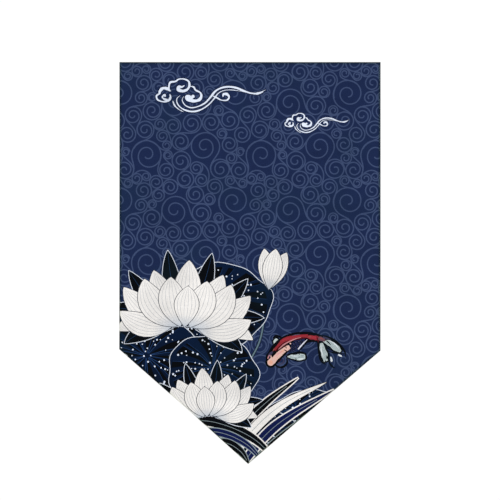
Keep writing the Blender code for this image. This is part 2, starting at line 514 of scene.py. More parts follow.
def drawLeaf(settings, centre, across, up, tilt, waves, veins, dew, seed):
    centre = np.array(centre, float)
    lay(leafRim(settings, centre, across, up, tilt, waves, grow=settings["edgeWidth"]), settings["edge"])
    lay(leafRim(settings, centre, across, up, tilt, waves), settings["deep"], settings["dark"],
        centre + (0, up), centre - (0, up * settings["fadeEnd"]))

    def onLeaf(angle, far):
        spot = turned([(across * far * math.cos(angle), up * far * math.sin(angle))], tilt)
        return spot[0] + centre

    middle = onLeaf(math.pi / 2, settings["middle"])

    def rayTo(angle):
        # a slightly bowed line from near the middle to the rim
        away = onLeaf(angle, settings["far"]) - middle
        bow = np.array([-away[1], away[0]]) * math.copysign(settings["veinBow"], math.cos(angle))
        return smoothPath([middle + away * settings["veinFrom"], middle + away / 2 + bow, middle + away],
                          settings["veinPoints"])

    places = [2 * math.pi * (number + settings["stray"] * math.sin(number * settings["strayTurn"])) / veins
              for number in range(veins + 1)]
    for angle, after in zip(places, places[1:]):
        end = angle + (after - angle) * settings["wedgeShare"]
        between = np.linspace(angle, end, settings["wedgePoints"])[1:-1]
        rim = [onLeaf(share, settings["far"]) for share in between]
        lay(np.vstack([rayTo(angle), rim, rayTo(end)[::-1]]), settings["wedge"])
    width = settings["veinWidth"] * np.linspace(*settings["veinEnds"], settings["veinPoints"])
    for angle in places[:-1]:
        lay(ribbon(rayTo(angle), width), settings["vein"])
    chance = np.random.default_rng(seed)
    for number in range(dew):
        angle = number * settings["dewTurn"] + chance.uniform(-settings["dewStray"], settings["dewStray"])
        far = math.sqrt((number + chance.uniform(*settings["dewSpread"])) / dew) * settings["dewFar"]
        drawDrop(onLeaf(angle, far), chance.uniform(*settings["dewSizes"]), settings["dew"])


# reeds and the whole pond: each reed has the points of its middle line, its width, its two colours and
# the width of its pale border; each leaf what drawLeaf takes
pond = {
    "navy": "#0D1746", "black": "#020409", "pale": "#E8E5E2", "grey": "#87949A",
    "ridge": 0.5, "ridgeShort": 4,          # a reed's ridge: its width, and how many points it stops short
    "reedPoints": 34, "reedFrom": 0.18, "reedBlunt": 0.8, "reedLeast": 0.15,    # where on the sine it starts
    "leaves": (
        ((-38, -262), 61, 45, 8, 5, 19, 110, 5), ((-112, -320), 64, 50, -12, 6, 19, 130, 2),
        ((-40, -332), 48, 40, -8, 5, 17, 90, 8), ((50, -372), 40, 17, 20, 5, 13, 30, 21),
        ((-8, -404), 70, 36, -4, 6, 19, 70, 12),
    ),
    "reeds": (
        (((-34, -426), (-8, -390), (18, -364), (52, -338)), 9.0, "black", "pale", 1.2),
        (((-24, -430), (4, -393), (36, -366), (82, -343)), 10.5, "pale", "black", 0.7),
        (((-12, -436), (14, -402), (42, -379), (90, -351)), 10.0, "navy", "pale", 1.3),
        (((-4, -440), (20, -414), (46, -392), (72, -371)), 8.0, "black", "grey", 1.0),
        (((-80, -384), (-38, -386), (2, -402), (32, -430)), 10.5, "black", "pale", 1.3),
        (((-66, -396), (-32, -397), (-4, -409), (16, -430)), 7.5, "navy", "grey", 1.0),
        (((-46, -410), (-26, -408), (-10, -417), (0, -432)), 9.0, "black", "grey", 0.8),
    ),
    "stalk": ((-6, -330), (10, -300), (16, -268), (20, -240)), "stalkPoints": 24,
    "stalkWidth": 3.0, "stalkCore": 0.55, "stalkInk": "#5E7480",
    "bud": ((20, -244), 44, 10), "blooms": (((-70, -284), 73, 4), ((-46, -380), 53, -6)),
}


def drawReed(settings, points, width, ink, edge, edgeWidth):
    # a long leaf: its half width runs as a sine over its length and ends in a point, with a thin ridge
    path = smoothPath(points, settings["reedPoints"])
    along = np.linspace(settings["reedFrom"], 1, len(path))
    body = width * np.sin(math.pi * along).clip(0) ** settings["reedBlunt"] + settings["reedLeast"]
    lay(ribbon(path, body + 2 * edgeWidth), settings[edge])
    lay(ribbon(path, body), settings[ink])
    lay(ribbon(path[settings["ridgeShort"]:-settings["ridgeShort"]], settings["ridge"]), settings["grey"])


def drawPond(settings, leafSettings, lotusSettings):
    stalk = smoothPath(settings["stalk"], settings["stalkPoints"])
    lay(ribbon(stalk, settings["stalkWidth"]), settings["black"])
    lay(ribbon(stalk, settings["stalkWidth"] * settings["stalkCore"]), settings["stalkInk"])
    for row in settings["leaves"]:
        drawLeaf(leafSettings, *row)
    for points, width, ink, edge, edgeWidth in settings["reeds"]:
        drawReed(settings, points, width, ink, edge, edgeWidth)
    drawBud(lotusSettings, *settings["bud"])
    for row in settings["blooms"]:
        drawBloom(lotusSettings, *row)


# the carp, in mm from a corner above its nose: its body, then brush strokes, each with the points that the
# brush passes, its widths along them and its ink
koi = {
    "left": 16.1, "top": -289.5,
    "black": "#03050B", "navy": "#1E2549", "violet": "#3A3752", "slate": "#55536A",
    "red": "#8E2A33", "brightRed": "#A02E3A", "deepRed": "#4C0A14", "rust": "#8E4A48", "root": "#6B4753",
    "skin": "#DBB4A9", "salmon": "#DFA791", "pink": "#DB9CA2", "line": "#BF8286", "brown": "#43231F",
    "fin": "#B7C4C4", "ray": "#87969B", "bright": "#DCE3E8", "white": "#D6D7E2",
    "spine": ((4.4, -33.2), (8.6, -27.6), (14.4, -19.6), (22.4, -12.2), (33.0, -7.4), (44.4, -5.5),
              (53.0, -5.6), (61.0, -8.0)),
    "halfWidths": ((0.0, 2.2), (0.05, 4.4), (0.14, 5.4), (0.28, 6.6), (0.45, 6.2), (0.65, 4.5),
                   (0.85, 2.9), (1.0, 2.2)),      # share of the length, half width
    "spinePoints": 60, "bodyPoints": 26, "bodyOutline": 2.0,
    "strokePoints": 24, "tremor": 0.10, "tremorTurn": 15.0,
    "finPoints": 20, "finBorder": 1.6,
    "rayWidth": 0.45, "raySide": 0.6, "rayEnds": (3, 2),    # of a fin's half width, points short at its ends
    "snout": (6.1, -32.4), "snoutSizes": ((5.9, "black"), (3.6, "skin"), (2.3, "salmon")),
    # fins under the body: the small one on the back, then the tail's two blades and their loose ends
    "fins": (
        (((10.2, -12.8), (10.9, -9.6), (13.2, -7.4)), (1.8, 3.6, 2.6), 1),
        (((60.4, -11.6), (61.3, -17.5), (63.3, -22.8), (63.9, -27.0), (65.2, -31.0)),
         (3.4, 5.4, 6.8, 5.2, 4.2), 4),
        (((62.6, -9.4), (68.4, -11.4), (73.6, -14.6), (78.0, -18.2), (80.6, -21.0)),
         (2.0, 5.4, 7.2, 6.0, 2.6), 4),
    ),
    "tail": (
        (((63.4, -13.0), (67.4, -18.4), (72.4, -20.9), (79.6, -22.4), (85.2, -23.4)),
         (0.5, 3.6, 3.4, 1.7, 0.4), "black"),
        (((66.6, -18.2), (69.6, -19.9), (72.8, -20.7)), (0.6, 1.7, 0.5), "navy"),
        (((64.6, -8.6), (67.6, -10.7), (70.4, -13.8)), (0.4, 1.5, 0.5), "black"),
        (((56.2, -5.0), (56.9, -15.6), (58.2, -25.0), (60.6, -31.3), (64.8, -34.8)),
         (1.2, 1.7, 2.0, 2.3, 0.6), "black"),
        (((59.0, -5.4), (64.8, -6.2), (70.4, -8.4)), (1.6, 2.4, 0.8), "violet"),
        (((57.4, -3.5), (64.8, -4.3), (71.0, -6.9), (77.0, -11.3), (82.0, -16.1), (85.4, -21.0),
          (86.6, -27.0)), (0.8, 1.5, 2.4, 3.2, 2.8, 1.8, 0.4), "black"),
        (((68.6, -22.4), (68.2, -29.0), (69.6, -33.8), (72.8, -37.4), (75.0, -38.2)),
         (1.9, 1.7, 1.9, 1.8, 0.5), "black"),
        (((64.7, -29.6), (64.3, -32.6)), (0.5, 1.4), "black"),
        (((65.4, -24.4), (66.4, -28.4)), (0.4, 1.3), "black"),
        (((70.2, -26.2), (71.0, -28.8), (71.3, -31.6)), (0.9, 2.2, 1.9), "bright"),
        (((78.2, -24.0), (80.4, -25.0), (82.4, -26.0)), (1.3, 2.0, 0.9), "bright"),
        (((60.0, -14.0), (60.4, -20.0), (62.6, -27.0)), (0.5, 1.1, 0.4), "bright"),
        (((68.6, -9.0), (75.0, -12.6), (79.6, -18.6)), (0.5, 1.2, 0.4), "bright"),
    ),
    "head": (
        (((9.6, -15.0), (6.8, -20.2), (2.6, -25.4), (1.4, -30.4)), (1.2, 3.2, 3.2, 1.6), "black"),
        (((8.6, -6.2), (12.6, -4.2), (18.6, -6.2)), (1.6, 3.0, 1.2), "black"),
        (((23.2, -28.0), (23.8, -32.4), (21.6, -35.8), (17.6, -37.6), (13.4, -37.0), (10.4, -34.2)),
         (1.2, 1.9, 2.2, 2.2, 1.8, 0.8), "black"),
        (((20.0, -28.6), (19.6, -32.4), (15.4, -34.8)), (1.0, 1.7, 0.5), "violet"),
        (((11.4, -33.4), (14.0, -31.4), (17.0, -29.4)), (0.8, 2.6, 0.6), "deepRed"),
    ),
    # over the body: its belly, with shares of the belly's half width for the rows of scales
    "belly": (((24.2, -19.2), (29.0, -16.4), (35.0, -13.0), (42.8, -8.2)), (3.0, 9.6, 9.6, 3.2)),
    "bellyPoints": 60, "scaleRows": (-0.78, -0.36, 0.06, 0.48, 0.86),
    "scaleFrom": 0.1, "scaleShift": 0.03, "scaleTo": 0.92, "scaleStep": 0.13,       # shares along the belly
    "scaleSize": 1.5, "scaleWidth": 0.55, "scaleInside": 0.45,
    "scaleArc": (-80, 85), "scalePoints": 7, "scaleTurn": 200, "scaleLean": 25,     # degrees, by the row
    "over": (
        # the red back, its bright end and the dark lines on it
        (((10.6, -19.6), (14.6, -13.8), (20.0, -9.4), (27.4, -6.2), (36.0, -4.3), (46.0, -4.0)),
         (2.2, 5.0, 5.6, 4.0, 2.8, 3.2), "red"),
        (((44.6, -4.7), (49.6, -5.5), (54.6, -6.2), (58.4, -7.2)), (2.6, 4.6, 4.6, 3.4), "red"),
        (((49.8, -5.4), (52.4, -5.6), (54.6, -6.0)), (1.2, 3.0, 1.6), "brightRed"),
        (((46.0, -4.7), (48.0, -4.9), (49.8, -5.1)), (0.6, 1.7, 0.6), "rust"),
        (((57.2, -6.4), (60.8, -7.4), (64.4, -9.2)), (4.4, 4.2, 2.4), "root"),
        (((58.4, -6.2), (60.6, -6.8), (62.6, -8.0)), (0.8, 1.5, 0.5), "rust"),
        (((55.4, -4.6), (56.4, -7.6), (57.0, -10.8)), (0.5, 1.3, 1.0), "deepRed"),
        (((11.0, -21.0), (15.2, -16.2), (20.4, -11.8), (25.2, -9.0)), (1.4, 1.9, 1.7, 0.4), "deepRed"),
        (((16.0, -11.0), (20.4, -8.4), (26.0, -6.4)), (0.3, 1.0, 0.3), "brightRed"),
        (((27.0, -7.6), (34.0, -5.0), (41.4, -4.2)), (0.4, 0.9, 0.3), "brightRed"),
        (((32.4, -8.4), (38.0, -6.7), (44.8, -6.2)), (0.8, 1.3, 0.6), "deepRed"),
        # the head: skin, warm snout, pink and brown touches
        (((5.4, -33.0), (8.4, -30.2), (12.6, -26.2), (17.4, -21.6), (22.0, -18.2), (26.4, -15.6)),
         (5.4, 7.2, 6.0, 5.2, 5.8, 3.6), "skin"),
        (((16.0, -22.6), (19.2, -20.0), (21.8, -18.4)), (0.6, 1.9, 0.6), "salmon"),
        (((11.6, -26.0), (15.0, -22.6), (18.0, -20.0)), (0.6, 1.5, 0.4), "pink"),
        (((14.4, -18.4), (20.4, -13.2), (27.0, -9.6), (33.0, -7.0), (38.6, -5.6)),
         (0.7, 1.3, 1.3, 1.0, 0.4), "line"),
        (((17.4, -17.8), (20.4, -15.4), (23.6, -13.4)), (0.4, 1.0, 0.9), "brown"),
        (((20.8, -15.4), (22.6, -16.2), (22.9, -17.6)), (0.6, 1.0, 0.3), "brown"),
        (((20.2, -18.9), (22.0, -19.6), (23.6, -21.0)), (0.5, 1.0, 1.2), "brown"),
        (((24.4, -12.4), (26.8, -13.2), (27.4, -15.6)), (0.5, 1.2, 1.9), "black"),
        (((26.4, -11.6), (27.8, -12.6)), (0.6, 1.5), "skin"),
        (((3.4, -27.6), (5.2, -24.0), (8.2, -20.8)), (1.6, 3.2, 1.8), "violet"),
        (((3.0, -28.6), (3.8, -26.2), (5.4, -24.0)), (1.2, 1.1, 0.4), "line"),
        (((6.2, -24.8), (6.6, -27.0)), (0.6, 1.5), "skin"),
        (((8.0, -27.2), (9.8, -23.6), (12.2, -19.8)), (0.4, 1.3, 1.0), "black"),
        (((8.2, -20.6), (9.6, -18.2), (10.2, -16.4)), (0.5, 1.2, 0.5), "rust"),
        (((10.4, -36.0), (14.2, -31.4), (19.0, -26.2), (23.0, -22.6)), (0.9, 1.0, 1.2, 0.8), "black"),
        # black along the back, and the bright barb with its shadow
        (((21.0, -5.4), (28.0, -2.7), (36.0, -1.0), (44.0, -1.0), (50.6, -2.7)),
         (0.8, 1.7, 1.2, 1.7, 1.7), "black"),
        (((28.8, -4.0), (33.0, -2.9), (37.8, -2.3)), (0.3, 0.8, 0.3), "slate"),
        (((16.4, -7.4), (14.4, -10.6), (11.2, -14.6), (9.4, -17.6)), (1.0, 1.9, 1.7, 0.8), "black"),
        (((49.6, -8.4), (45.0, -10.6), (40.8, -15.2), (36.4, -20.2)), (0.8, 1.7, 1.5, 1.2), "black"),
        (((45.2, -7.8), (40.4, -12.6), (35.4, -18.4)), (0.6, 1.4, 1.3), "white"),
    ),
    "nearFin": (((24.0, -26.3), (28.6, -26.2), (34.0, -26.8), (39.6, -26.4), (43.0, -26.2)),
                (0.8, 4.2, 6.0, 6.8, 5.2), 4),
    "finStrokes": (
        (((21.6, -24.8), (29.0, -22.6), (35.6, -21.3), (40.6, -21.9), (44.0, -24.8), (44.0, -28.2),
          (40.6, -30.4)), (0.5, 1.2, 1.8, 1.6, 1.5, 1.6, 0.7), "black"),
        (((30.1, -23.2), (30.5, -25.4)), (1.1, 0.4), "black"),
        (((36.4, -22.2), (36.8, -24.6)), (1.2, 0.4), "black"),
        (((33.4, -30.4), (32.9, -27.8)), (1.3, 0.6), "black"),
        (((38.2, -25.2), (39.8, -25.6), (41.2, -25.2)), (0.5, 1.5, 0.5), "ray"),
        (((35.0, -27.4), (36.6, -27.0), (38.2, -27.2)), (0.4, 1.1, 0.4), "ray"),
        (((27.0, -25.0), (32.0, -25.6), (36.0, -25.4)), (0.3, 1.0, 0.3), "bright"),
        (((35.0, -29.0), (38.8, -28.8), (41.8, -28.2)), (0.4, 1.1, 0.3), "bright"),
    ),
}


def koiBody(settings):
    # its outline: the spine moved to either side by the half width there and the width of its border
    points = settings["spinePoints"]
    spine = smoothPath(settings["spine"], points)
    rows = np.column_stack([spine, sideways(spine)])
    t = np.linspace(0, 1, settings["bodyPoints"])
    at = np.column_stack([np.interp(t * (points - 1), np.arange(points), column) for column in rows.T])
    half = np.interp(t, *np.transpose(settings["halfWidths"]))[:, None] + settings["bodyOutline"]
    middle = at[:, :2] + (settings["left"], settings["top"])
    return cleaned(np.vstack([middle - at[:, 2:] * half, (middle + at[:, 2:] * half)[::-1]]))


def brushed(settings, points, widths, steps):
    # a brush's way: smooth through its points, its widths spread evenly along it, with a slight tremor
    path = smoothPath(points, steps) + (settings["left"], settings["top"])
    along = np.linspace(0, 1, steps)
    width = np.interp(along, np.linspace(0, 1, len(widths)), widths)
    return path, width * (1 + settings["tremor"] * np.sin(along * settings["tremorTurn"] + len(points)))


def drawStroke(settings, points, widths, ink):
    lay(ribbon(*brushed(settings, points, widths, settings["strokePoints"])), settings[ink])


def drawFin(settings, points, widths, rays):
    # a pale blunt stroke on a black one that reaches further all round, with thin lines along it
    path, width = brushed(settings, points, widths, settings["finPoints"])
    border = settings["finBorder"]
    before, after = path[0] - path[1], path[-1] - path[-2]
    around = np.vstack([path[0] + before / np.hypot(*before) * border, path,
                        path[-1] + after / np.hypot(*after) * border])
    lay(ribbon(around, np.concatenate([width[:1], width + 2 * border, width[-1:]])), settings["black"])
    lay(ribbon(path, width), settings["fin"])
    start, end = settings["rayEnds"]
    for side in np.linspace(-settings["raySide"], settings["raySide"], rays):
        line = path + sideways(path) * (width / 2 * side)[:, None]
        lay(ribbon(line[start:-end], settings["rayWidth"]), settings["ray"])


def drawBelly(settings):
    # it has no outline: crescents, dark ones with a lighter one inside, stand for its scales
    drawStroke(settings, *settings["belly"], "navy")
    path, width = brushed(settings, *settings["belly"], settings["bellyPoints"])
    across = sideways(path)
    for row, side in enumerate(settings["scaleRows"]):
        arc = np.radians(np.linspace(*settings["scaleArc"], settings["scalePoints"])
                         + settings["scaleTurn"] + settings["scaleLean"] * side)
        crescent = np.stack([np.cos(arc), np.sin(arc)], 1) * settings["scaleSize"]
        start = settings["scaleFrom"] + settings["scaleShift"] * (row % 2)
        for t in np.arange(start, settings["scaleTo"], settings["scaleStep"]):
            at = int(t * (len(path) - 1))
            middle = path[at] + across[at] * width[at] / 2 * side
            lay(ribbon(middle + crescent, settings["scaleWidth"]), settings["black"])
            if (row + at) % 2:
                lay(ribbon(middle + crescent[1:-2] * settings["scaleInside"], settings["scaleWidth"]),
                    settings["slate"])


def drawKoi(settings):
    for row in settings["fins"]:
        drawFin(settings, *row)
    for row in settings["tail"] + settings["head"]:
        drawStroke(settings, *row)
    lay(koiBody(settings), settings["black"])
    snout = np.add(settings["snout"], (settings["left"], settings["top"]))
    drawDrop(snout, settings["snoutSizes"][0][0], settings["black"])
    drawBelly(settings)
    for row in settings["over"]:
        drawStroke(settings, *row)
    for radius, ink in settings["snoutSizes"][1:]:
        drawDrop(snout, radius, settings[ink])
    drawFin(settings, *settings["nearFin"])
    for row in settings["finStrokes"]:
        drawStroke(settings, *row)


# the cloth: front cut along the print's lines, rolled edge, turned hem on the back, and the reverse
cloth = {
    "ground": "#192649", "reverse": "#D3D4D3",
    "showThrough": 0.34, "showBlur": 2.2,       # how much of the print shows on the back, and how blurred
    "blurPlaces": 6, "blurInner": 0.55,         # places in each of two rings, and the inner ring's share
    "edgeStep": 3.0, "frontGrid": 4.0, "frontGap": 1.5, "backGrid": 2.5, "backGap": 1.0,
    "snap": 0.004, "backSnap": 1e-5,    # points of a net closer than this become one
    "pastEnd": 1e-4, "atCorner": 1e-5,  # shares of an edge: how far past its ends, and how near to a corner
    "rimWidth": 0.0005,     # a triangle whose middle lies this near the edge is left out
    "offCloth": 12.0,       # a shape that is wholly further off the cloth is not drawn
    "rollSteps": 6, "hemStep": 1.0, "fallWidth": 0.5, "fallPower": 1.5, "fallPoints": 5,
    "hemBlur": 1.2, "hemPlaces": 5,     # the ink of the fold and hem is taken over this far along the edge
}


def hangBack(x, z):
    # metres back from the flat: each wave is height * sin(2 pi (x + slant * depth) / length + phase); they
    # grow with (depth / length)^1.4, and the point comes forward by tipSwing * past^2
    depth = np.maximum(-z, 0)
    wave = sum(height * np.sin(2 * math.pi * (x + slant * depth) / length + phase)
               for length, height, phase, slant in hanging["waves"])
    past = np.maximum(depth - hanging["swingStart"], 0) / (panel["length"] / 1000 - hanging["swingStart"])
    return (depth / (panel["length"] / 1000)) ** hanging["growth"] * wave - hanging["tipSwing"] * past ** 2


def hangSlope(x, z, reach=0.0005):
    # slopes of hangBack along x and along z, by the difference over one millimetre
    low = np.minimum(z, -reach)
    return ((hangBack(x + reach, z) - hangBack(x - reach, z)) / (2 * reach),
            (hangBack(x, low + reach) - hangBack(x, low - reach)) / (2 * reach))


def edgeNormals():
    # unit vectors that point into the panel from each of its five edges
    ahead = np.roll(corners, -1, 0) - corners
    return np.stack([-ahead[:, 1], ahead[:, 0]], 1) / np.hypot(ahead[:, 0], ahead[:, 1])[:, None]


def insetCorners(distance):
    # the outline's corners moved inwards: corner + distance * (n1 + n2) / (1 + n1 . n2)
    normal = edgeNormals()
    before = np.roll(normal, 1, 0)
    return corners + distance * (normal + before) / (1 + (normal * before).sum(1))[:, None]


def onRing(around, distance):
    # the place at a share of the way round (0 to 5, one unit an edge) on the outline moved inwards
    ring = insetCorners(distance)
    edge = np.floor(around).astype(int) % edgeCount
    share = (around - np.floor(around))[:, None]
    return ring[edge] * (1 - share) + ring[(edge + 1) % edgeCount] * share


def aroundOf(points, distance):
    # the opposite: which share of the way round a point on that outline has
    ring = insetCorners(distance)
    ahead = np.roll(ring, -1, 0) - ring
    length = np.hypot(ahead[:, 0], ahead[:, 1])
    apart = points[:, None] - ring[None]
    off = np.abs((apart * edgeNormals()[None]).sum(2))
    share = (apart * (ahead / length[:, None])[None]).sum(2) / length
    off = np.where((share > -cloth["pastEnd"]) & (share < 1 + cloth["pastEnd"]), off, np.inf)
    edge = off.argmin(1)
    return (edge + np.clip(share[np.arange(len(points)), edge], 0, 1)) % edgeCount


def insidePanel(points, distance):
    # true where a point lies further in than distance from all five edges
    return (((points[:, None] - corners[None]) * edgeNormals()[None]).sum(2) > distance).all(1)


def topShape(points):
    # number of the last printed shape that holds each point, or -1: a shape holds it if its outline
    # winds round it
    found = np.full(len(points), -1)
    for number, shape in enumerate(printShapes):
        outline = shape["outline"]
        low, high = outline.min(0), outline.max(0)
        near = np.nonzero(((points >= low) & (points <= high)).all(1))[0]
        spot = points[near]
        ahead = np.roll(outline, -1, 0) - outline
        rises = (outline[:, 1] <= spot[:, 1:]) & (outline[:, 1] + ahead[:, 1] > spot[:, 1:])
        falls = (outline[:, 1] > spot[:, 1:]) & (outline[:, 1] + ahead[:, 1] <= spot[:, 1:])
        side = ahead[:, 0] * (spot[:, 1:] - outline[:, 1]) - (spot[:, :1] - outline[:, 0]) * ahead[:, 1]
        winding = (rises & (side > 0)).sum(1) - (falls & (side < 0)).sum(1)
        found[near[winding != 0]] = number
    return found


def inkAt(points, number):
    # linear colour of the numbered shapes at the points: ink to fade by how far along the run each lies
    ground = {"ink": cloth["ground"], "fade": cloth["ground"], "start": (0.0, 0.0), "end": (0.0, 1.0)}
    rows = [ground] + printShapes
    ink, fade = (np.array([linear(row[key]) for row in rows])[number + 1] for key in ("ink", "fade"))
    start, end = (np.array([row[key] for row in rows])[number + 1] for key in ("start", "end"))
    run = end - start
    share = np.clip(((points - start) * run).sum(-1) / (run ** 2).sum(-1), 0, 1)[..., None]
    return ink * (1 - share) + fade * share


def inkKinds():
    # a number for the bare ground and for each shape, the same for those whose ink is alike all over
    plain = [cloth["ground"]] + [shape["ink"] if shape["ink"] == shape["fade"] else number
                                 for number, shape in enumerate(printShapes)]
    return np.unique([str(ink) for ink in plain], return_inverse=True)[1]


def dropHidden():
    # shapes that later ones cover at every point, or that lie off the cloth, are left out
    every = np.vstack([shape["outline"] for shape in printShapes])
    owner = np.repeat(np.arange(len(printShapes)), [len(shape["outline"]) for shape in printShapes])
    covered = (topShape(every) > owner) | ~insidePanel(every, -cloth["offCloth"])
    hidden = np.bincount(owner, ~covered, len(printShapes)) == 0
    printShapes[:] = [shape for shape, gone in zip(printShapes, hidden) if not gone]


def spread(step, distance):
    # loose points of an even grid inside the panel
    half = panel["width"] / 2
    grid = np.stack(np.meshgrid(np.arange(-half, half, step), np.arange(-panel["length"], 0, step)), -1)
    grid = grid.reshape(-1, 2)
    return grid[insidePanel(grid, distance)]


def linesRound(outlines):
    # each outline's points numbered on from the last one's, in pairs, the last point back to the first
    counts = np.array([len(outline) for outline in outlines])
    firsts = np.concatenate([[0], np.cumsum(counts)[:-1]])
    return np.vstack([np.stack([np.arange(n), (np.arange(n) + 1) % n], 1) + first
                      for n, first in zip(counts, firsts)])


def netOf(points, lines, distance, snap):
    # triangles of a constrained Delaunay net through the points and along the lines, kept inside and
    # each anticlockwise as the front is seen
    net = delaunay_2d_cdt(points.tolist(), lines.tolist(), [], 0, snap, False)
    verts = np.array([tuple(vert) for vert in net[0]])
    faces = np.array(net[2])
    faces = faces[insidePanel(verts[faces].mean(1), distance + cloth["rimWidth"])]
    used, faces = np.unique(faces, return_inverse=True)
    verts, faces = verts[used], faces.reshape(-1, 3)
    a, b, c = (verts[faces[:, k]] for k in range(3))
    turn = (b[:, 0] - a[:, 0]) * (c[:, 1] - a[:, 1]) - (c[:, 0] - a[:, 0]) * (b[:, 1] - a[:, 1])
    return verts, np.where(turn[:, None] < 0, faces[:, ::-1], faces)


def bordersOf(faces, kinds):
    # lines between two triangles of different kinds
    lines = np.sort(np.vstack([faces[:, (0, 1)], faces[:, (1, 2)], faces[:, (2, 0)]]), 1)
    order = np.lexsort(lines.T)
    lines, kinds = lines[order], np.tile(kinds, 3)[order]
    shared = (lines[1:] == lines[:-1]).all(1) & (kinds[1:] != kinds[:-1])
    return lines[1:][shared]


def rimOf(faces):
    # vertices on the edge of a net: those of the lines that only one triangle has
    lines = np.sort(np.vstack([faces[:, (0, 1)], faces[:, (1, 2)], faces[:, (2, 0)]]), 1)
    line, times = np.unique(lines, axis=0, return_counts=True)
    return np.unique(line[times == 1])


def hemProfile():
    # rows of (distance in from the edge, distance back): half a circle round the fold, the flat hem,
    # and a smooth step down to the single cloth
    radius = panel["hem"] / 2
    angle = np.linspace(0, math.pi, cloth["rollSteps"] + 1)
    roll = np.stack([radius * (1 - np.sin(angle)), radius * (1 - np.cos(angle))], 1)
    band = np.arange(radius + cloth["hemStep"], panel["hemWidth"], cloth["hemStep"])
    flat = np.stack([band, np.full(len(band), panel["hem"])], 1)
    fall = np.linspace(0, 1, cloth["fallPoints"])
    step = np.stack([panel["hemWidth"] + cloth["fallWidth"] * fall ** cloth["fallPower"],
                     panel["hem"] - (panel["hem"] - panel["cloth"]) * ease(fall)], 1)
    return np.vstack([roll, flat, step])


def lifted(plan, back):
    # from the flat, in mm, to the hanging place, in metres
    x, z = plan[:, 0] / 1000, plan[:, 1] / 1000
    return np.stack([x, hangBack(x, z) + back / 1000, z], 1)


def clothOutline(distance, step):
    # points along the outline moved inwards, about one step apart, corners among them
    ring = insetCorners(distance)
    sides = np.hypot(*(np.roll(ring, -1, 0) - ring).T)
    parts = [round(side / step) for side in sides]
    around = [edge + np.arange(count) / count for edge, count in enumerate(parts)]
    return onRing(np.concatenate(around), distance)


def reverseInk(points):
    # the pale back of the cloth, with a share of the print showing through, blurred over a few threads:
    # the mean of the point itself and of two rings of places round it, the inner one turned by half a place
    angle = np.arange(cloth["blurPlaces"]) * 2 * math.pi / cloth["blurPlaces"]
    ring = np.stack([np.cos(angle), np.sin(angle)], 1) * cloth["showBlur"]
    shifts = np.vstack([[(0, 0)], ring, turned(ring, 180 / cloth["blurPlaces"]) * cloth["blurInner"]])
    seen = np.mean([inkAt(points + shift, topShape(points + shift)) for shift in shifts], axis=0)
    return linear(cloth["reverse"]) * (1 - cloth["showThrough"]) + seen * cloth["showThrough"]


def hemInk(around, distance):
    # the ink along one row of the fold or hem: the mean of a few places along the edge
    edge = np.floor(around).astype(int) % edgeCount
    length = np.hypot(*(np.roll(corners, -1, 0) - corners).T)[edge]
    shifts = np.linspace(-1, 1, cloth["hemPlaces"]) * cloth["hemBlur"]
    spots = [onRing(around + shift / length, distance) for shift in shifts]
    return np.mean([inkAt(spot, topShape(spot)) for spot in spots], axis=0)


def frontNormals(plan):
    # unit normals of the hanging front: (slope along x, -1, slope along z), which looks forwards
    slopeX, slopeZ = hangSlope(plan[:, 0] / 1000, plan[:, 1] / 1000)
    normal = np.stack([slopeX, -np.ones(len(plan)), slopeZ], 1)
    return normal / np.linalg.norm(normal, axis=1)[:, None]


def rowNormals(around, plan, inwards, backwards):
    # unit normals of one row of the fold or hem: a share inwards along the cloth and a share backwards
    edge = np.floor(around).astype(int) % edgeCount
    inward = edgeNormals()[edge]
    atCorner = np.abs(around - np.round(around)) < cloth["atCorner"]
    meeting = np.round(around[atCorner]).astype(int) % edgeCount
    inward[atCorner] = (edgeNormals()[meeting] + edgeNormals()[meeting - 1]) / 2
    slopeX, slopeZ = hangSlope(plan[:, 0] / 1000, plan[:, 1] / 1000)
    rise = inward[:, 0] * slopeX + inward[:, 1] * slopeZ
    normal = inwards * np.stack([inward[:, 0], rise, inward[:, 1]], 1) - backwards * frontNormals(plan)
    return normal / np.linalg.norm(normal, axis=1)[:, None]


# the cloth's map, in mm: the cut cloth as the front is seen, beside it the reverse as the back is seen
clothMap = {"frontX": 156.0, "reverseX": 446.0, "top": 450.0, "size": 584.0}


def mapPlaces(points, mirrored=False):
    side, shift = (-1, clothMap["reverseX"]) if mirrored else (1, clothMap["frontX"])
    return np.stack([side * points[..., 0] + shift, points[..., 1] + clothMap["top"]], -1) / clothMap["size"]


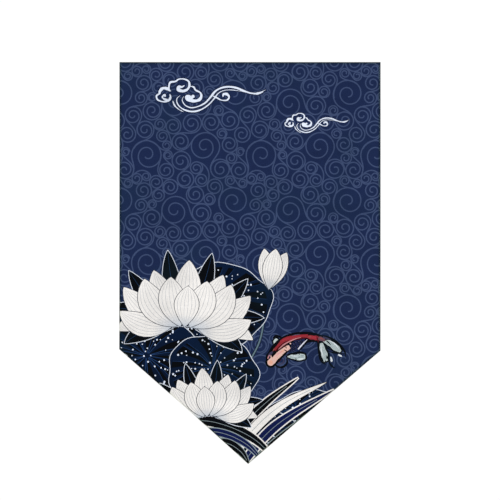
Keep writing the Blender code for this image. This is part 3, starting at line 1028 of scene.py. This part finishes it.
def makeClothSheet():
    radius = panel["hem"] / 2
    dropHidden()
    rim = clothOutline(radius, cloth["edgeStep"])
    # a first net holds every shape's whole outline; the second only the lines where the ink changes
    outlines = [rim] + [shape["outline"] for shape in printShapes]
    first, firstFaces = netOf(np.vstack(outlines), linesRound(outlines), radius, cloth["snap"])
    kinds = inkKinds()[topShape(first[firstFaces].mean(1)) + 1]
    used, lines = np.unique(bordersOf(firstFaces, kinds), return_inverse=True)
    loose = spread(cloth["frontGrid"], radius + cloth["frontGap"])
    front, frontFaces = netOf(np.vstack([rim, first[used], loose]),
                              np.vstack([linesRound([rim]), lines.reshape(-1, 2) + len(rim)]),
                              radius, cloth["snap"])
    print("front net:", len(printShapes), "printed shapes,", len(first), "points at first, then", len(front),
          "and", len(frontFaces), "triangles")

    # rows round the fold, along the hem and down its step, each with one point for each rim point
    first = rimOf(frontFaces)
    around = aroundOf(front[first], radius)
    first, around = first[around.argsort()], np.sort(around)
    profile = hemProfile()
    unrolled = np.concatenate([[0], np.cumsum(np.hypot(*np.diff(profile, axis=0).T))])
    plan = [onRing(around, inset) for inset, _ in profile]
    flat = [onRing(around, profile[0][0] - far) for far in unrolled]
    columns, lastRow = len(around), len(profile) - 1
    index = [first] + [len(front) + columns * row + np.arange(columns) for row in range(lastRow)]

    # the reverse is a net of its own that starts on the last row
    inner = profile[-1][0]
    loose = spread(cloth["backGrid"], inner + cloth["backGap"])
    back, backFaces = netOf(np.vstack([plan[-1], loose]), linesRound([plan[-1]]), inner, cloth["backSnap"])
    meets = rimOf(backFaces)
    meets = meets[aroundOf(back[meets], inner).argsort()]
    if len(meets) != columns:
        raise SystemExit("the reverse has %d rim points and the hem %d" % (len(meets), columns))
    others = np.setdiff1d(np.arange(len(back)), meets)
    place = np.empty(len(back), int)
    place[meets] = index[-1]
    place[others] = index[-1][-1] + 1 + np.arange(len(others))
    backFaces = backFaces[:, ::-1]
    print("reverse net:", len(back), "points,", len(backFaces), "triangles")

    # everything that a vertex holds
    spots = np.vstack([lifted(front, 0)]
                      + [lifted(plan[row], profile[row][1]) for row in range(1, lastRow + 1)]
                      + [lifted(back[others], panel["cloth"])])
    run = np.gradient(profile, unrolled, axis=0)
    run[-1] = (1, 0)
    normals = np.vstack([frontNormals(front)] + [rowNormals(around, plan[row], -run[row][1], run[row][0])
                                                 for row in range(1, lastRow + 1)]
                        + [-frontNormals(back[others])])

    # everything that a corner holds: front triangles, quads row by row, reverse triangles
    number = topShape(front[frontFaces].mean(1))
    printedRow = len(profile) - cloth["fallPoints"]
    rowInk = [hemInk(around, radius - unrolled[row]) for row in range(printedRow + 1)]
    rowInk += [reverseInk(plan[row]) for row in range(printedRow + 1, lastRow + 1)]

    def quadsOf(rows):
        return np.concatenate([np.stack([np.roll(a, -1, 0), a, b, np.roll(b, -1, 0)], 1)
                               for a, b in zip(rows, rows[1:])])

    quads = quadsOf(index)
    corner = np.concatenate([frontFaces.ravel(), quads.ravel(), place[backFaces].ravel()])
    sizes = np.repeat([3, 4, 3], [len(frontFaces), len(quads), len(backFaces)])
    ink = np.concatenate([inkAt(front[frontFaces], np.repeat(number[:, None], 3, 1)).reshape(-1, 3),
                          quadsOf(rowInk).reshape(-1, 3), reverseInk(back)[backFaces].reshape(-1, 3)])
    mapped = np.concatenate([mapPlaces(front[frontFaces]).reshape(-1, 2),
                             mapPlaces(quadsOf(flat)).reshape(-1, 2),
                             mapPlaces(back[backFaces], True).reshape(-1, 2)])
    finish = np.repeat([0, 0, 1, 1], [len(frontFaces), columns * printedRow,
                                      columns * (lastRow - printedRow), len(backFaces)])

    mesh = bpy.data.meshes.new("cloth_sheet")
    mesh.vertices.add(len(spots))
    mesh.vertices.foreach_set("co", spots.ravel())
    mesh.loops.add(len(corner))
    mesh.loops.foreach_set("vertex_index", corner)
    mesh.polygons.add(len(sizes))
    mesh.polygons.foreach_set("loop_start", np.concatenate([[0], np.cumsum(sizes)[:-1]]))
    mesh.polygons.foreach_set("loop_total", sizes)
    mesh.polygons.foreach_set("material_index", finish)
    mesh.update(calc_edges=True)
    colours = mesh.attributes.new("printInk", "FLOAT_COLOR", "CORNER")
    colours.data.foreach_set("color", np.column_stack([ink, np.ones(len(ink))]).ravel())
    # the unrolled cloth and its reverse side by side
    mesh.uv_layers.new(name="OFBake").data.foreach_set("uv", mapped.ravel())
    mesh.normals_split_custom_set_from_vertices(normals.tolist())
    sheet = bpy.data.objects.new("cloth_sheet", mesh)
    bpy.context.scene.collection.objects.link(sheet)
    print("cloth:", len(spots), "points,", int((sizes - 2).sum()), "triangles")
    return sheet


# the hem's sewing: a blind hem, so the thread shows on the back only
sewing = {
    "inset": 6.3, "stitch": 2.5, "gap": 0.9, "corner": 3.0,     # from the edge, along it, and off a corner
    "thread": 0.44, "blunt": 0.4, "arch": 0.14, "dip": 0.05,    # its ends lie this deep in the cloth
    "rings": 6, "sides": 6, "ends": (0.02, 0.98), "unevenness": 0.12, "seed": 7,
}


def makeHemStitching():
    # each stitch is a tube with its radius r(t) = r * sin(pi t)^blunt round an arched line that dips into
    # the cloth at both ends: height(t) = arch * sin(pi t) - dip; all stitches are worked out together
    ring = insetCorners(sewing["inset"])
    starts, ends = [], []
    for edge, length in enumerate(np.hypot(*(np.roll(ring, -1, 0) - ring).T)):
        count = int((length - 2 * sewing["corner"]) / (sewing["stitch"] + sewing["gap"]))
        step = (length - 2 * sewing["corner"]) / count
        begin = sewing["corner"] + step * np.arange(count)
        starts.append(edge + begin / length)
        ends.append(edge + (begin + sewing["stitch"]) / length)
    start, end = (onRing(np.concatenate(part), sewing["inset"]) for part in (starts, ends))
    chance = np.random.default_rng(sewing["seed"])
    start = start + chance.normal(0, sewing["unevenness"], start.shape)
    end = end + chance.normal(0, sewing["unevenness"], end.shape)
    t = np.linspace(*sewing["ends"], sewing["rings"])
    line = start[:, None] * (1 - t)[:, None] + end[:, None] * t[:, None]
    ahead = (end - start) / np.hypot(*(end - start).T)[:, None]
    across = np.stack([-ahead[:, 1], ahead[:, 0]], 1)
    angle = np.linspace(0, 2 * math.pi, sewing["sides"], endpoint=False)
    thick = sewing["thread"] / 2 * np.sin(math.pi * t) ** sewing["blunt"]
    plan = line[:, :, None] + across[:, None, None] * (thick[:, None] * np.cos(angle))[..., None]
    height = sewing["arch"] * np.sin(math.pi * t) - sewing["dip"]
    back = panel["hem"] + height[:, None] + thick[:, None] * np.sin(angle)
    stitches = len(start)
    back = np.broadcast_to(back, (stitches,) + back.shape)
    spots = lifted(plan.reshape(-1, 2), back.reshape(-1))

    rings, sides = sewing["rings"], sewing["sides"]
    number = np.arange(stitches * rings * sides).reshape(stitches, rings, sides)
    a, b = number[:, :-1], number[:, 1:]
    quads = np.stack([a, b, np.roll(b, -1, 2), np.roll(a, -1, 2)], -1).reshape(-1, 4)
    caps = np.concatenate([number[:, 0], number[:, -1, ::-1]])
    mesh = bpy.data.meshes.new("hem_stitching")
    mesh.from_pydata(spots.tolist(), [], quads.tolist() + caps.tolist())
    # its own map: mm along the stitch, and the share of the way round the thread
    along = np.broadcast_to((t * sewing["stitch"])[:, None], (rings, sides))
    turn = np.broadcast_to(np.arange(sides) / sides, (rings, sides))
    run = np.tile(np.stack([along, turn], -1).reshape(-1, 2), (stitches, 1))
    mesh.uv_layers.new(name="threadRun").data.foreach_set(
        "uv", run[np.concatenate([quads.ravel(), caps.ravel()])].ravel())
    stitching = bpy.data.objects.new("hem_stitching", mesh)
    bpy.context.scene.collection.objects.link(stitching)
    print("hem stitching:", stitches, "stitches,", len(quads) * 2 + len(caps) * 4, "triangles")
    return stitching


def addNode(material, kind, links=None, **settings):
    # one node with its own settings; links gives each input a number, a colour, or (node, output)
    node = material.node_tree.nodes.new("ShaderNode" + kind)
    for name, value in settings.items():
        setattr(node, name, value)
    for name, value in (links or {}).items():
        if isinstance(value, tuple) and isinstance(value[0], bpy.types.Node):
            material.node_tree.links.new(value[0].outputs[value[1]], node.inputs[name])
        else:
            node.inputs[name].default_value = value
    return node


def rgba(hexText):
    return (*linear(hexText), 1.0)


# the weave: what a user would change, in mm; each range is of the noise or height that drives it
weave = {
    "threads": 0.62,        # from thread to thread, about 16 threads to a cm
    "wander": 0.16, "wanderSize": 6.25,         # how far a thread strays sideways, and over what length
    "slubLength": 26.0, "slubWidth": 1.3, "slubRange": (0.45, 0.8),     # thick places in the linen threads
    "depth": 0.11,          # how far a thread stands over its neighbours
    # gapRange and gapLight: the painted shade in the gaps between threads and the painted highlight on their
    # tops
    "gapRange": (0.0, 1.6), "gapLight": 0.5,    # of the gaps' shade, what the thread tops gain
    "cloudSize": 38.0, "cloudRange": (0.3, 0.7), "cloudRough": 0.62,    # patches that took less or more ink
    "tealSize": 60.8, "tealRange": (0.5, 0.75), "tealShift": (3.1, 0, 1.7),
    # darkRange and paleShare: which ink takes the painted edge shade in full, and the share that pale ink
    # takes
    "darkRange": (0.15, 0.7), "paleShare": 0.15,    # which ink is dark, and what pale ink takes of its tint
    "roughRange": (0.0, 2.0), "roughGap": 0.06, "roughTop": 0.04,
}


def wovenCloth(name, look):
    # plain weave: A = sin(pi x / threads), B = sin(pi z / threads); the warp's height is |A| + A B, the
    # weft's is |B| - A B, and the higher of the two is on top
    material = bpy.data.materials.new(name)
    material.use_nodes = True
    shader = material.node_tree.nodes["Principled BSDF"]
    place = addNode(material, "TexCoord")
    closer = addNode(material, "Mapping", {
        "Vector": (place, "Object"), "Scale": (1000 / weave["wanderSize"],) * 3})
    straying = addNode(material, "TexNoise", {"Vector": (closer, 0), "Scale": 1.0, "Detail": 2.0})
    strayed = addNode(material, "VectorMath", {
        0: (straying, "Color"), 1: (weave["wander"] / 1000,) * 3, 2: (place, "Object")},
        operation="MULTIPLY_ADD")
    axes = addNode(material, "SeparateXYZ", {0: (strayed, 0)})
    crossings, rises = [], []
    for axis in ("X", "Z"):
        turns = addNode(material, "Math", {0: (axes, axis), 1: math.pi / (weave["threads"] / 1000)},
                        operation="MULTIPLY")
        crossings.append(addNode(material, "Math", {0: (turns, 0)}, operation="SINE"))
        rises.append(addNode(material, "Math", {0: (crossings[-1], 0)}, operation="ABSOLUTE"))
    crossing = addNode(material, "Math", {0: (crossings[0], 0), 1: (crossings[1], 0)}, operation="MULTIPLY")
    warp = addNode(material, "Math", {0: (rises[0], 0), 1: (crossing, 0)}, operation="ADD")
    weft = addNode(material, "Math", {0: (rises[1], 0), 1: (crossing, 0)}, operation="SUBTRACT")
    height = addNode(material, "Math", {0: (warp, 0), 1: (weft, 0)}, operation="MAXIMUM")

    # slubs: one noise drawn out along the warp and one along the weft
    slubs = []
    across, along = 1000 / weave["slubWidth"], 1000 / weave["slubLength"]
    for stretch in ((across, 1000, along), (along, 1000, across)):
        drawn = addNode(material, "Mapping", {"Vector": (place, "Object"), "Scale": stretch})
        slubs.append(addNode(material, "TexNoise", {"Vector": (drawn, 0), "Scale": 1.0, "Detail": 3.0}))
    slub = addNode(material, "Math", {0: (slubs[0], 0), 1: (slubs[1], 0)}, operation="MAXIMUM")
    low, high = weave["slubRange"]
    thick = addNode(material, "MapRange", {"Value": (slub, 0), "From Min": low, "From Max": high})
    relief = addNode(material, "Math", {0: (thick, 0), 1: look["slubRelief"], 2: (height, 0)},
                     operation="MULTIPLY_ADD")
    bump = addNode(material, "Bump", {"Height": (relief, 0), "Strength": look["bump"],
                                      "Distance": weave["depth"] / 1000 / 2})

    # ink: the print's own colour, with painted shade darker in the gaps between threads and a painted
    # highlight lighter on the thread tops, lighter on slubs, and uneven in patches
    ink = addNode(material, "Attribute", attribute_name="printInk")
    low, high = weave["gapRange"]
    # painted shade and highlight of the weave: by thread height, darker low in the gaps, lighter on the tops
    gaps = addNode(material, "MapRange", {
        "Value": (height, 0), "From Min": low, "From Max": high,
        "To Min": 1 - look["gapShade"], "To Max": 1 + look["gapShade"] * weave["gapLight"]})
    uneven = addNode(material, "TexNoise", {
        "Vector": (place, "Object"), "Scale": 1000 / weave["cloudSize"], "Detail": 4.0,
        "Roughness": weave["cloudRough"]})
    low, high = weave["cloudRange"]
    patches = addNode(material, "MapRange", {
        "Value": (uneven, 0), "From Min": low, "From Max": high,
        "To Min": 1 - look["patchShade"], "To Max": 1 + look["patchShade"]})
    shade = addNode(material, "Math", {0: (gaps, 0), 1: (patches, 0)}, operation="MULTIPLY")
    lifts = addNode(material, "Math", {0: (thick, 0), 1: look["slubShade"], 2: (shade, 0)},
                    operation="MULTIPLY_ADD")
    shaded = addNode(material, "VectorMath", {0: (ink, "Color"), "Scale": (lifts, 0)}, operation="SCALE")

    # painted shade of the rolled fold: dark ink is painted darker and greener along the turned edge, by the
    # distance to the nearest of the five edges
    nearest = None
    for corner, inward in zip(corners / 1000, edgeNormals()):
        apart = addNode(material, "VectorMath", {0: (place, "Object"), 1: (corner[0], 0, corner[1])},
                        operation="SUBTRACT")
        far = addNode(material, "VectorMath", {0: (apart, 0), 1: (inward[0], 0, inward[1])},
                      operation="DOT_PRODUCT")
        nearest = (far, "Value") if nearest is None else (
            addNode(material, "Math", {0: nearest, 1: (far, "Value")}, operation="MINIMUM"), 0)
    # strength of the painted edge shade: full at the edge, none at edgeWidth in
    edgeShadeMask = addNode(material, "MapRange", {
        "Value": nearest, "From Min": 0.0, "From Max": look["edgeWidth"] / 1000,
        "To Min": look["edgeShade"], "To Max": 0.0})
    # the painted edge shade falls on dark ink in full, and on pale ink only a share
    strength = addNode(material, "VectorMath", {0: (ink, "Color")}, operation="LENGTH")
    low, high = weave["darkRange"]
    dark = addNode(material, "MapRange", {
        "Value": (strength, "Value"), "From Min": low, "From Max": high,
        "To Min": 1.0, "To Max": weave["paleShare"]})
    amount = addNode(material, "Math", {0: (edgeShadeMask, 0), 1: (dark, 0)}, operation="MULTIPLY")
    # edgeInk is the tint of the painted edge shade, multiplied into the ink
    edged = addNode(material, "Mix", {0: (amount, 0), 6: (shaded, 0), 7: rgba(look["edgeInk"])},
                    data_type="RGBA", blend_type="MULTIPLY")

    # the dye leans towards teal in places
    moved = addNode(material, "Mapping", {"Vector": (place, "Object"), "Location": weave["tealShift"]})
    leaning = addNode(material, "TexNoise", {
        "Vector": (moved, 0), "Scale": 1000 / weave["tealSize"], "Detail": 2.0})
    low, high = weave["tealRange"]
    amount = addNode(material, "MapRange", {
        "Value": (leaning, 0), "From Min": low, "From Max": high, "To Min": 0.0, "To Max": look["teal"]})
    tint = addNode(material, "Mix", {0: (amount, 0), 6: (edged, 2), 7: rgba(look["tealInk"])},
                   data_type="RGBA", blend_type="MIX")
    low, high = weave["roughRange"]
    rough = addNode(material, "MapRange", {
        "Value": (height, 0), "From Min": low, "From Max": high,
        "To Min": look["roughness"] + weave["roughGap"], "To Max": look["roughness"] - weave["roughTop"]})
    material.node_tree.links.new(tint.outputs[2], shader.inputs["Base Color"])
    material.node_tree.links.new(bump.outputs[0], shader.inputs["Normal"])
    material.node_tree.links.new(rough.outputs[0], shader.inputs["Roughness"])
    shader.inputs["Specular IOR Level"].default_value = look["specular"]
    shader.inputs["Sheen Weight"].default_value = look["sheen"]
    shader.inputs["Sheen Roughness"].default_value = look["sheenRoughness"]
    return material


# printed polyester and linen, plain weave, dyed by transfer: matt, the ink sits in the threads, so the eye
# gets flat deep colour with a fine grain and a soft unevenness
printedLook = {
    "bump": 0.9, "slubRelief": 0.8, "gapShade": 0.17, "patchShade": 0.09, "slubShade": 0.10,
    # edgeWidth, edgeShade and edgeInk: painted shade, darker and greener, along the turned edge
    "teal": 0.22, "tealInk": "#14303C", "edgeWidth": 3.4, "edgeShade": 1.0, "edgeInk": "#C4D690",
    "roughness": 0.90, "specular": 0.06, "sheen": 0.02, "sheenRoughness": 0.55,
}
# the same cloth's unprinted reverse: pale, chalky, its slubs show more, and the print shows through
reverseLook = {
    "bump": 0.8, "slubRelief": 0.8, "gapShade": 0.15, "patchShade": 0.04, "slubShade": 0.10,
    # edgeShade 0: no painted edge shade on the reverse
    "teal": 0.0, "tealInk": "#14303C", "edgeWidth": 3.4, "edgeShade": 0.0, "edgeInk": "#C4D690",
    "roughness": 0.92, "specular": 0.12, "sheen": 0.06, "sheenRoughness": 0.55,
}


# spun polyester thread of two twisted plies: a slight shine, and painted shade as slanting dark lines in the
# grooves between the plies
threadLook = {
    # between: the painted shade in the grooves between the plies; ply: the colour on the ply tops
    "between": "#202B54", "ply": "#56669A", "plyTurn": 0.45,    # mm along the thread for half a twist
    "bump": 0.6, "depth": 0.05, "roughness": 0.55, "sheen": 0.2,
}


def sewingThread(name, look):
    # the plies' height is |sin(pi (2 v + u / plyTurn))|, with u in mm along the stitch and v round it
    material = bpy.data.materials.new(name)
    material.use_nodes = True
    shader = material.node_tree.nodes["Principled BSDF"]
    run = addNode(material, "UVMap", uv_map="threadRun")
    axes = addNode(material, "SeparateXYZ", {0: (run, 0)})
    turn = addNode(material, "Math", {0: (axes, "Y"), 1: 2 * math.pi}, operation="MULTIPLY")
    along = addNode(material, "Math", {0: (axes, "X"), 1: math.pi / look["plyTurn"], 2: (turn, 0)},
                    operation="MULTIPLY_ADD")
    wave = addNode(material, "Math", {0: (along, 0)}, operation="SINE")
    plies = addNode(material, "Math", {0: (wave, 0)}, operation="ABSOLUTE")
    # colour ramp by ply height: painted shade in the grooves, the ply colour on the tops
    colour = addNode(material, "ValToRGB", {0: (plies, 0)})
    colour.color_ramp.elements[0].color = rgba(look["between"])
    colour.color_ramp.elements[1].color = rgba(look["ply"])
    bump = addNode(material, "Bump", {
        "Height": (plies, 0), "Strength": look["bump"], "Distance": look["depth"] / 1000})
    material.node_tree.links.new(colour.outputs[0], shader.inputs["Base Color"])
    material.node_tree.links.new(bump.outputs[0], shader.inputs["Normal"])
    shader.inputs["Roughness"].default_value = look["roughness"]
    shader.inputs["Sheen Weight"].default_value = look["sheen"]
    return material


# matt painted board: no gloss, a very faint roller grain
boardLook = {
    "low": "#EDEDEB", "high": "#F6F6F4", "roughness": 0.9,
    "grain": 900.0, "bump": 0.05, "depth": 0.5,     # grains to a metre, how strong, and how deep in mm
}


def paleBoard(name, look):
    material = bpy.data.materials.new(name)
    material.use_nodes = True
    shader = material.node_tree.nodes["Principled BSDF"]
    place = addNode(material, "TexCoord")
    grain = addNode(material, "TexNoise", {
        "Vector": (place, "Object"), "Scale": look["grain"], "Detail": 2.0})
    tone = addNode(material, "ValToRGB", {0: (grain, 0)})
    tone.color_ramp.elements[0].color = rgba(look["low"])
    tone.color_ramp.elements[1].color = rgba(look["high"])
    bump = addNode(material, "Bump", {
        "Height": (grain, 0), "Strength": look["bump"], "Distance": look["depth"] / 1000})
    material.node_tree.links.new(tone.outputs[0], shader.inputs["Base Color"])
    material.node_tree.links.new(bump.outputs[0], shader.inputs["Normal"])
    shader.inputs["Roughness"].default_value = look["roughness"]
    return material


# what stands round the panel, in metres
studio = {
    "floorLevel": -0.60, "floorRadius": 0.70, "floorRings": 6, "floorSides": 72,
    "room": 0.80, "backdrop": 1.03, "blendTo": 0.7,     # how bright, and where the one becomes the other
    "lens": 100.0, "sensor": 36.0, "frameWidth": 0.5358, "lookX": 0.0, "lookZ": -0.2015,
    "lights": (
        {"name": "key_light", "place": (-1.10, -1.70, 0.75), "size": 1.3, "power": 12.0},
        {"name": "fill_light", "place": (1.30, -1.50, -0.10), "size": 1.2, "power": 4.5},
        {"name": "back_light", "place": (0.60, 1.70, 0.70), "size": 1.2, "power": 8.0},
    ),
}


def makeFloor():
    # a disc: rings of points round the middle, radius * (ring / rings)
    rings, sides = studio["floorRings"], studio["floorSides"]
    angle = np.linspace(0, 2 * math.pi, sides, endpoint=False)
    far = np.linspace(0, studio["floorRadius"], rings + 1)[1:]
    spots = np.stack([np.outer(far, np.cos(angle)), np.outer(far, np.sin(angle)),
                      np.full((rings, sides), studio["floorLevel"])], -1).reshape(-1, 3)
    number = np.arange(rings * sides).reshape(rings, sides)
    a, b = number[:-1], number[1:]
    quads = np.stack([a, b, np.roll(b, -1, 1), np.roll(a, -1, 1)], -1).reshape(-1, 4)
    mesh = bpy.data.meshes.new("floor")
    mesh.from_pydata(spots.tolist(), [], quads.tolist() + [number[0].tolist()])
    floor = bpy.data.objects.new("floor", mesh)
    bpy.context.scene.collection.objects.link(floor)
    mesh.materials.append(paleBoard("matt_painted_board", boardLook))
    return floor


def makeStudio():
    scene = bpy.context.scene
    scene.view_settings.view_transform = "Standard"
    world = bpy.data.worlds.new("soft_room")
    scene.world = world
    world.use_nodes = True
    backing = world.node_tree.nodes["Background"]
    # a bright backdrop behind the cloth, and a dimmer room in front of it
    place = addNode(world, "TexCoord")
    axes = addNode(world, "SeparateXYZ", {0: (place, "Generated")})
    level = addNode(world, "MapRange", {
        "Value": (axes, "Y"), "From Min": 0.0, "From Max": studio["blendTo"],
        "To Min": studio["room"], "To Max": studio["backdrop"]})
    world.node_tree.links.new(level.outputs[0], backing.inputs["Strength"])
    backing.inputs["Color"].default_value = (1, 1, 1, 1)
    for row in studio["lights"]:
        lamp = bpy.data.lights.new(row["name"], "AREA")
        lamp.size, lamp.energy = row["size"], row["power"]
        light = bpy.data.objects.new(row["name"], lamp)
        light.location = row["place"]
        aim = Vector((0, 0, studio["lookZ"])) - Vector(row["place"])
        light.rotation_euler = aim.to_track_quat("-Z", "Y").to_euler()
        scene.collection.objects.link(light)
    lens = bpy.data.cameras.new("front_camera")
    lens.lens, lens.sensor_width = studio["lens"], studio["sensor"]
    camera = bpy.data.objects.new("front_camera", lens)
    away = studio["frameWidth"] * studio["lens"] / studio["sensor"]
    camera.location = (studio["lookX"], -away, studio["lookZ"])
    camera.rotation_euler = (math.pi / 2, 0, 0)
    scene.collection.objects.link(camera)
    scene.camera = camera


drawSwirls(swirls)
for place in cloud["places"]:
    drawCloud(cloud, place)
drawPond(pond, leaf, lotus)
drawKoi(koi)
print("print:", len(printShapes), "shapes")

clothSheet = makeClothSheet()
clothSheet.data.materials.append(wovenCloth("printed_polyester_linen", printedLook))
clothSheet.data.materials.append(wovenCloth("unprinted_reverse", reverseLook))
hemStitching = makeHemStitching()
hemStitching.data.materials.append(sewingThread("polyester_thread", threadLook))
for piece in (clothSheet, hemStitching):
    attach(piece, "root")
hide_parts("cloth_panel")

makeFloor()
makeStudio()
